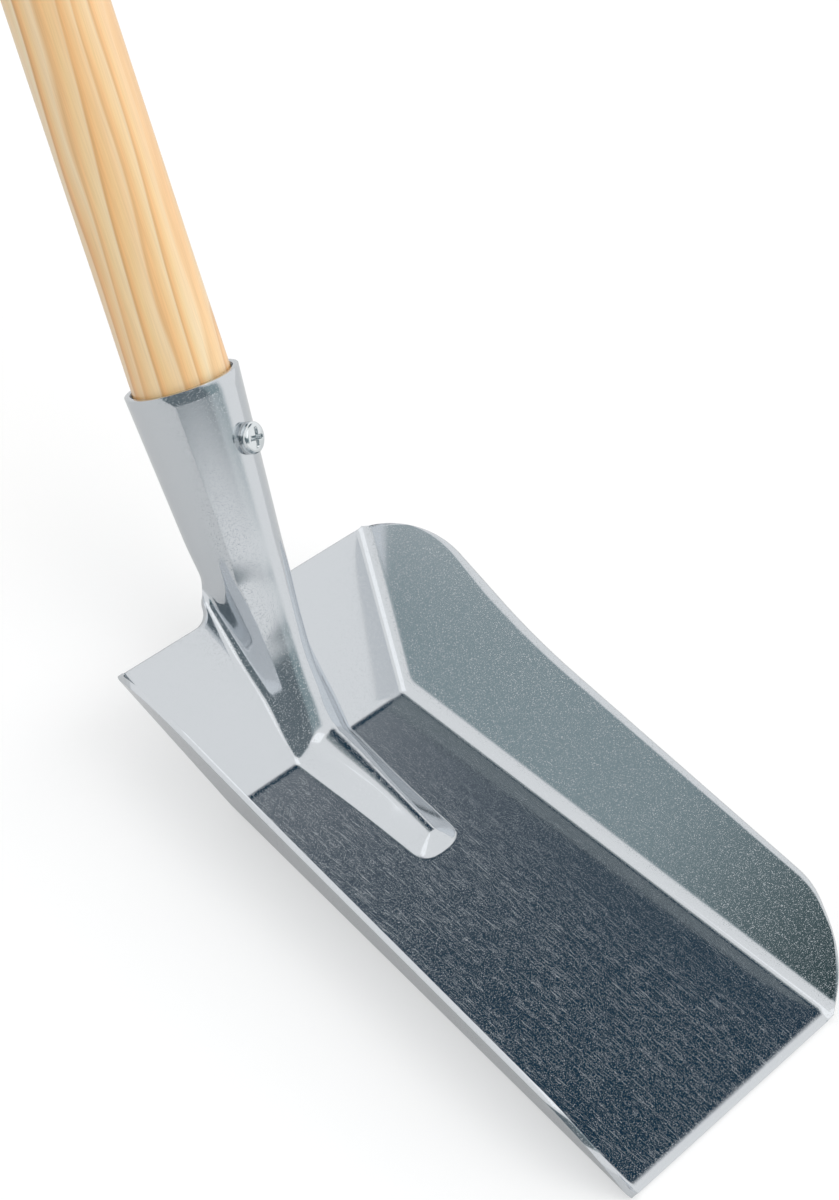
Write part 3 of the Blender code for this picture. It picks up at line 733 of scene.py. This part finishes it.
def zinc_grain(tree):
    """Speckle everywhere, and on level faces also streaks, both stronger along the lines."""
    place = add(tree, "ShaderNodeTexCoord").outputs["Object"]
    facing = add(tree, "ShaderNodeNewGeometry").outputs["Normal"]
    upward = add(tree, "ShaderNodeSeparateXYZ", {0: facing}).outputs["Z"]
    flat = add(tree, "ShaderNodeMapRange", {
        "Value": upward, "From Min": FLAT_RANGE[0], "From Max": FLAT_RANGE[1]}).outputs[0]
    speckle = grain_of(tree, place, along_blade(SPECKLE, SPECKLE), 3.0, *SPECKLE_RANGE)
    streaks = grain_of(tree, place, along_blade(STREAK_WIDTH, STREAK_LENGTH), 2.0, *STREAK_RANGE)
    lines = grain_of(tree, place, along_blade(LINE_WIDTH, LINE_LENGTH), 2.0, *LINE_RANGE)
    faint = add(tree, "ShaderNodeMath", {0: streaks, 1: STREAK_SHARE}, operation="MULTIPLY").outputs[0]
    both = add(tree, "ShaderNodeMath", {0: speckle, 1: faint}, operation="MAXIMUM").outputs[0]
    lifted = add(tree, "ShaderNodeMath", {0: lines, 1: LINE_LIFT}, operation="ADD").outputs[0]
    rolled = add(tree, "ShaderNodeMath", {0: both, 1: lifted}, operation="MULTIPLY").outputs[0]
    return add(tree, "ShaderNodeMix", {"Factor": flat, 2: speckle, 3: rolled}, data_type="FLOAT").outputs[0]


def zinc_sheet():
    """Electroplated bright zinc on rolled steel: a metal, a little rougher on its grain."""
    mat, tree = new_material("bright_zinc_plated_steel")
    grain = zinc_grain(tree)
    colour = add(tree, "ShaderNodeMix", {
        "Factor": grain, 6: linear(ZINC_LOW), 7: linear(ZINC_HIGH)}, data_type="RGBA").outputs[2]
    rough = add(tree, "ShaderNodeMapRange", {
        "Value": grain, "To Min": ZINC_ROUGHNESS[0], "To Max": ZINC_ROUGHNESS[1]}).outputs[0]
    bump = add(tree, "ShaderNodeBump", {"Height": grain, "Strength": 1.0, "Distance": GRAIN_HEIGHT})
    shader = add(tree, "ShaderNodeBsdfPrincipled", {
        "Base Color": colour, "Metallic": 1.0, "Roughness": rough, "Normal": bump.outputs[0]})
    finish_material(mat, shader.outputs[0])
    return mat


# %% Pressed sheet
EDGE_WEAR = 0.00025
EDGE_ANGLE = radians(60)


def build_sheet():
    """The grid, made solid downwards and less so at the ground lip, with its edges worn."""
    piece = add_piece("pressed_sheet", sheet_mesh(), zinc_sheet(), "blade_and_socket")
    scoop = both_halves(scoop_points())
    drop = lip_drop(row_stations(), scoop[..., 0]).ravel()
    ground = piece.vertex_groups.new(name="ground_lip")
    for number in np.flatnonzero(drop):
        ground.add([int(number)], drop[number] / SHEET, "REPLACE")
    wall = piece.modifiers.new("thickness", "SOLIDIFY")
    wall.vertex_group = ground.name
    wall.invert_vertex_group = True
    wall.thickness = SHEET
    wall.offset = -1.0
    wall.use_even_offset = True
    edge = piece.modifiers.new("worn_edges", "BEVEL")
    edge.width = EDGE_WEAR
    edge.segments = 2
    edge.limit_method = "ANGLE"
    edge.angle_limit = EDGE_ANGLE
    print("sheet grid", len(piece.data.polygons), "quads before its thickness")


build_sheet()

# %% [markdown]
# ## The handle
#
# The handle is turned from pine and lacquered. Its profile is swept round an axis and
# then stood in the socket. The wood could be a picture wrapped round it, but a solid
# pattern also gives the right end grain: rings round a pith that lies outside the handle.
# Cut lengthwise they show as long streaks, each from pale early wood to honey-coloured
# late wood, strong in some years and weak in others, with a slight orange blush.

# %% Handle shape
# Free space between the sheet and the pieces that sit against it
GAP = 0.0003
HANDLE_RADIUS = 0.0142
HANDLE_OUTSIDE = 0.205
HANDLE_INSERT = TUBE_LENGTH - 0.0015
HANDLE_MOUTH_PLAY = 0.0008
HANDLE_EASE = 0.040
HANDLE_END_RADIUS = 0.008
HANDLE_TIP_CHAMFER = 0.002
TURNED_STEPS = 96
DOME_POINTS, LENGTH_POINTS, EASE_POINTS = 14, 12, 14


def round_mesh(name, rings, poles):
    """Quads between closed rings of points, top first, and a fan of triangles to each pole."""
    ids = np.arange(rings.shape[0] * rings.shape[1]).reshape(rings.shape[:2])
    top, bottom = ids.size, ids.size + 1
    ids = np.concatenate([ids, ids[:, :1]], 1)
    sides = np.stack([ids[:-1, :-1], ids[1:, :-1], ids[1:, 1:], ids[:-1, 1:]], -1).reshape(-1, 4)
    caps = [(top, int(a), int(b)) for a, b in zip(ids[0], ids[0, 1:])]
    caps += [(bottom, int(b), int(a)) for a, b in zip(ids[-1], ids[-1, 1:])]
    mesh = bpy.data.meshes.new(name)
    mesh.from_pydata(np.concatenate([rings.reshape(-1, 3), poles]).tolist(), [], sides.tolist() + caps)
    mesh.validate()
    mesh.shade_smooth()
    return mesh


def turned_mesh(name, profile, steps):
    """Sweeps a profile of (radius, height), top to bottom, round the Z axis in a grid:
    (radius cos turn, radius sin turn, height). Its ends are on the axis."""
    profile = np.array(profile, float)
    turns = np.linspace(0, 2 * pi, steps, endpoint=False)
    ring = np.stack([np.cos(turns), np.sin(turns)], -1)
    middle = profile[1:-1]
    rings = np.concatenate([
        middle[:, None, :1] * ring[None], np.broadcast_to(middle[:, None, 1:], (len(middle), steps, 1))], -1)
    return round_mesh(name, rings, np.array([[0, 0, profile[0, 1]], [0, 0, profile[-1, 1]]]))


def stand(mesh, origin, axis):
    """Turns a mesh's +Z along an axis and moves it to a point, in the mesh itself."""
    axis = np.array(axis, float) / np.linalg.norm(axis)
    side = np.cross([0.0, 1.0, 0.0], axis)
    side = side / np.linalg.norm(side) if np.linalg.norm(side) > 1e-6 else np.array([1.0, 0.0, 0.0])
    turn = np.stack([side, np.cross(axis, side), axis])
    points = np.empty(len(mesh.vertices) * 3, np.float32)
    mesh.vertices.foreach_get("co", points)
    points = points.reshape(-1, 3) @ turn + np.array(origin)
    mesh.vertices.foreach_set("co", points.astype(np.float32).ravel())
    mesh.update()
    return mesh


def handle_profile():
    """Radius and height from the domed top down to the tapered end in the socket."""
    inside = MOUTH_RADIUS - SHEET - GAP
    mouth = inside - (HANDLE_MOUTH_PLAY - GAP)
    tip = inside - TAPER * HANDLE_INSERT - GAP
    top = HANDLE_OUTSIDE
    crown = HANDLE_END_RADIUS
    turns = np.linspace(pi / 2, 0, DOME_POINTS)
    dome = np.column_stack([
        HANDLE_RADIUS - crown + crown * np.cos(turns), top - crown + crown * np.sin(turns)])
    length = np.linspace(top - crown, HANDLE_EASE, LENGTH_POINTS)[1:-1]
    waist = np.linspace(1, 0, EASE_POINTS)
    eased = np.column_stack([mouth + (HANDLE_RADIUS - mouth) * ease(waist), HANDLE_EASE * waist])
    straight = np.column_stack([0 * length + HANDLE_RADIUS, length])
    end = [(tip, HANDLE_TIP_CHAMFER - HANDLE_INSERT), (tip - HANDLE_TIP_CHAMFER, -HANDLE_INSERT)]
    return [(0.0, top), *dome, *straight, *eased, *end, (0.0, -HANDLE_INSERT)]


# %% Growth rings
MOUTH = np.array([0.0, *axis_point(0.0)]) + FRAME_SHIFT
PITH = (0.022, -0.024, 0.0)
GRAIN_LEAN = (radians(-2.0), radians(-2.0), 0.0)
RING_WIDTH = 0.0046
# The rings wander by up to this much, in waves 17 mm wide and 170 mm long
RING_WANDER = 0.013
WAVES_PER_METRE = (60.0, 60.0, 6.0)
# Along the grain a millimetre counts as this part of one across it
RING_STRETCH = 0.02
EARLY_WOOD = "#ffeccb"
LATE_WOOD = [(0.40, "#ffda9f"), (0.72, "#fab263"), (0.88, "#cf8638")]
WEAK_YEAR = "#ffdda8"
WEAK_SHARE = 0.8


def scaled_noise(tree, vector, scale):
    """Noise with this many grains per metre along each axis."""
    placed = add(tree, "ShaderNodeMapping", {"Vector": vector, "Scale": scale})
    return add(tree, "ShaderNodeTexNoise", {
        "Vector": placed.outputs[0], "Scale": 1.0, "Detail": 2.0}).outputs[0]


def growth_rings(tree, upright):
    """Ring count = (distance from the pith + wander) / ring width. Its fraction is the
    season, which gives the colour, and its whole number the year, which gives the strength."""
    leaning = add(tree, "ShaderNodeMapping", {"Vector": upright, "Rotation": GRAIN_LEAN}).outputs[0]
    wave = scaled_noise(tree, leaning, WAVES_PER_METRE)
    pith = add(tree, "ShaderNodeVectorMath", {0: leaning, 1: PITH}, operation="SUBTRACT")
    flat = add(tree, "ShaderNodeVectorMath", {
        0: pith.outputs[0], 1: (1.0, 1.0, RING_STRETCH)}, operation="MULTIPLY")
    reach = add(tree, "ShaderNodeVectorMath", {0: flat.outputs[0]}, operation="LENGTH")
    wander = add(tree, "ShaderNodeMath", {0: wave, 1: RING_WANDER}, operation="MULTIPLY")
    ringed = add(tree, "ShaderNodeMath", {0: reach.outputs["Value"], 1: wander.outputs[0]}, operation="ADD")
    count = add(tree, "ShaderNodeMath", {0: ringed.outputs[0], 1: 1 / RING_WIDTH}, operation="MULTIPLY")
    season = add(tree, "ShaderNodeMath", {0: count.outputs[0]}, operation="FRACT")
    year = add(tree, "ShaderNodeMath", {0: count.outputs[0]}, operation="FLOOR")
    ramp = add(tree, "ShaderNodeValToRGB", {"Fac": season.outputs[0]})
    stops = ramp.color_ramp.elements
    for end in stops:
        end.color = linear(EARLY_WOOD)
    for position, colour in LATE_WOOD:
        stops.new(position).color = linear(colour)
    chance = add(tree, "ShaderNodeTexWhiteNoise", {"W": year.outputs[0]}, noise_dimensions="1D")
    weak = add(tree, "ShaderNodeMath", {0: chance.outputs["Value"], 1: WEAK_SHARE}, operation="MULTIPLY")
    return add(tree, "ShaderNodeMix", {
        "Factor": weak.outputs[0], 6: ramp.outputs[0], 7: linear(WEAK_YEAR)}, data_type="RGBA").outputs[2]


# %% Lacquered pine
# Fibres 0.4 mm wide, drawn as coarse as they need to be to show, and blush 11 mm wide
FIBRES_PER_METRE = (2500.0, 2500.0, 60.0)
FIBRE_RANGE = (0.3, 0.7)
FIBRE_SHADE = (0.95, 1.04)
FIBRE_HEIGHT = 0.00005
BLUSH_PER_METRE = (90.0, 90.0, 7.0)
BLUSH_RANGE = (0.35, 0.90)
BLUSH = "#ffc88c"


def lacquered_pine():
    """Turned softwood under a satin lacquer: warm and matt below, with a soft clear gleam."""
    mat, tree = new_material("lacquered_pine")
    place = add(tree, "ShaderNodeTexCoord").outputs["Object"]
    # The pattern starts at the socket's mouth and is then turned to run along the handle.
    moved = add(tree, "ShaderNodeVectorMath", {0: place, 1: tuple(MOUTH)}, operation="SUBTRACT")
    upright = add(tree, "ShaderNodeMapping", {
        "Vector": moved.outputs[0], "Rotation": (pi / 2 - SOCKET_LIFT, 0, 0)}).outputs[0]
    blush = grain_of(tree, upright, BLUSH_PER_METRE, 2.0, *BLUSH_RANGE)
    wood = add(tree, "ShaderNodeMix", {
        "Factor": blush, 6: growth_rings(tree, upright), 7: linear(BLUSH)}, data_type="RGBA")
    fibre = scaled_noise(tree, upright, FIBRES_PER_METRE)
    shade = add(tree, "ShaderNodeMapRange", {
        "Value": fibre, "From Min": FIBRE_RANGE[0], "From Max": FIBRE_RANGE[1],
        "To Min": FIBRE_SHADE[0], "To Max": FIBRE_SHADE[1]})
    fine = add(tree, "ShaderNodeMix", {
        "Factor": 1.0, 6: wood.outputs[2], 7: shade.outputs[0]}, data_type="RGBA", blend_type="MULTIPLY")
    bump = add(tree, "ShaderNodeBump", {"Height": fibre, "Strength": 0.2, "Distance": FIBRE_HEIGHT})
    shader = add(tree, "ShaderNodeBsdfPrincipled", {
        "Base Color": fine.outputs[2], "Roughness": 0.42, "IOR": 1.5, "Coat Weight": 0.5,
        "Coat Roughness": 0.18, "Normal": bump.outputs[0]})
    finish_material(mat, shader.outputs[0])
    return mat


# %% Handle
def build_handle():
    """The turned shape, stood on the socket's axis with its zero height at the mouth."""
    mesh = turned_mesh("turned_handle", handle_profile(), TURNED_STEPS)
    stand(mesh, MOUTH, (0.0, cos(SOCKET_LIFT), sin(SOCKET_LIFT)))
    add_piece("turned_handle", mesh, lacquered_pine(), "handle")
    print("handle", len(mesh.polygons), "faces")


build_handle()

# %% [markdown]
# ## The screw
#
# One pan-head screw with a cross recess goes through the front of the socket into the
# wood. It is small, but its bright rim and dark cross catch the eye. A cutter could cut
# the cross out of a plain head. Here one polar grid carries the head, the recess and the
# thread, because its points can simply sink or wave, which leaves no ragged faces.

# %% Screw sizes
SCREW_BELOW_MOUTH = 0.0195
SCREW_TURN = radians(10)
HEAD_RADIUS = 0.0046
HEAD_HEIGHT = 0.0030
HEAD_EDGE = 0.0011
HEAD_CROWN = 0.0002
SHANK_RADIUS = 0.0021
SCREW_LENGTH = 0.018
SCREW_POINT = 0.005
RECESS_SPAN = 0.0050
RECESS_SLOT = 0.0011
RECESS_DEPTH = 0.0021
# Where the recess's side starts and how wide it is, as parts of the cross's half width
RECESS_EDGE, RECESS_SIDE = 1.25, 0.35
THREAD_PITCH = 0.0018
THREAD_DEPTH = 0.0006
HEAD_ROWS, HEAD_EDGE_ROWS, SHANK_ROWS, SCREW_TURNS = 34, 10, 150, 96


# %% Screw
def screw_points():
    """A polar grid from the middle of the head down to the point: rows by profile, turns
    round the axis. The cross sinks the top, eased down its sides, and the thread takes a
    triangle wave of (height / pitch - turn) off the shank."""
    inner = np.linspace(0.0, HEAD_RADIUS - HEAD_EDGE, HEAD_ROWS)
    turns = np.linspace(pi / 2, 0, HEAD_EDGE_ROWS)[1:]
    radius = np.concatenate([inner, HEAD_RADIUS - HEAD_EDGE + HEAD_EDGE * np.cos(turns), [HEAD_RADIUS]])
    crown = HEAD_CROWN * (1 - (inner / inner[-1]) ** 2)
    height = np.concatenate([
        HEAD_HEIGHT + crown, HEAD_HEIGHT - HEAD_EDGE + HEAD_EDGE * np.sin(turns), [0.0]])
    down = np.linspace(0, 1, SHANK_ROWS)
    shank = SHANK_RADIUS * np.minimum(1.0, (1 - down) * SCREW_LENGTH / SCREW_POINT)
    radius = np.concatenate([radius, shank])
    height = np.concatenate([height, -SCREW_LENGTH * down])
    angle = np.linspace(0, 2 * pi, SCREW_TURNS, endpoint=False)
    x = radius[:, None] * np.cos(angle)
    y = radius[:, None] * np.sin(angle)
    z = height[:, None] + 0 * x
    arm = np.minimum(np.maximum(np.abs(x) / RECESS_SPAN, np.abs(y) / RECESS_SLOT),
                     np.maximum(np.abs(y) / RECESS_SPAN, np.abs(x) / RECESS_SLOT)) * 2
    sink = RECESS_DEPTH * ease((RECESS_EDGE - arm) / RECESS_SIDE) * (z > HEAD_HEIGHT - HEAD_EDGE / 2)
    thread = THREAD_DEPTH * np.abs(2 * ((z / THREAD_PITCH - angle / (2 * pi)) % 1) - 1)
    fall = np.clip(np.hypot(x, y) / SHANK_RADIUS, 0, 1) * (z < -THREAD_PITCH)
    grow = 1 - thread * fall / SHANK_RADIUS
    return np.stack([x * grow, y * grow, z - sink], -1)


def screw_mesh():
    """The grid's rings, with one point in the middle of the head and one at the tip."""
    grid = screw_points()
    return round_mesh("pan_head_screw", grid[1:-1], grid[[0, -1], 0])


# %% Zinc screw
MARK_SIZE = 0.0008
SCREW_ROUGHNESS = (0.10, 0.22)
SCREW_ZINC = "#dee3e5"


def zinc_screw():
    """The same bright zinc on headed wire, with soft marks from tumbling in the bath."""
    mat, tree = new_material("bright_zinc_plated_screw")
    place = add(tree, "ShaderNodeTexCoord").outputs["Object"]
    marks = add(tree, "ShaderNodeTexNoise", {"Vector": place, "Scale": 1 / MARK_SIZE, "Detail": 2.0})
    rough = add(tree, "ShaderNodeMapRange", {
        "Value": marks.outputs[0], "To Min": SCREW_ROUGHNESS[0], "To Max": SCREW_ROUGHNESS[1]})
    shader = add(tree, "ShaderNodeBsdfPrincipled", {
        "Base Color": linear(SCREW_ZINC), "Metallic": 1.0, "Roughness": rough.outputs[0]})
    finish_material(mat, shader.outputs[0])
    return mat


# %% Pan-head screw
def build_screw():
    """Square to the socket's cone: its radial direction, tipped back by the taper."""
    seat = socket_points(SCREW_BELOW_MOUTH, SCREW_TURN) + FRAME_SHIFT
    radial = np.array([sin(SCREW_TURN), *(cos(SCREW_TURN) * SOCKET_UP)])
    outward = radial - TAPER * np.array([0.0, cos(SOCKET_LIFT), sin(SOCKET_LIFT)])
    outward = outward / np.linalg.norm(outward)
    mesh = stand(screw_mesh(), seat + GAP * outward, outward)
    add_piece("pan_head_screw", mesh, zinc_screw(), "screw")
    print("screw", len(mesh.polygons), "faces, seated at", seat)


build_screw()

# %% [markdown]
# ## Closing
#
# The view layer is brought up to date at the end.

# %% Update
bpy.context.view_layer.update()
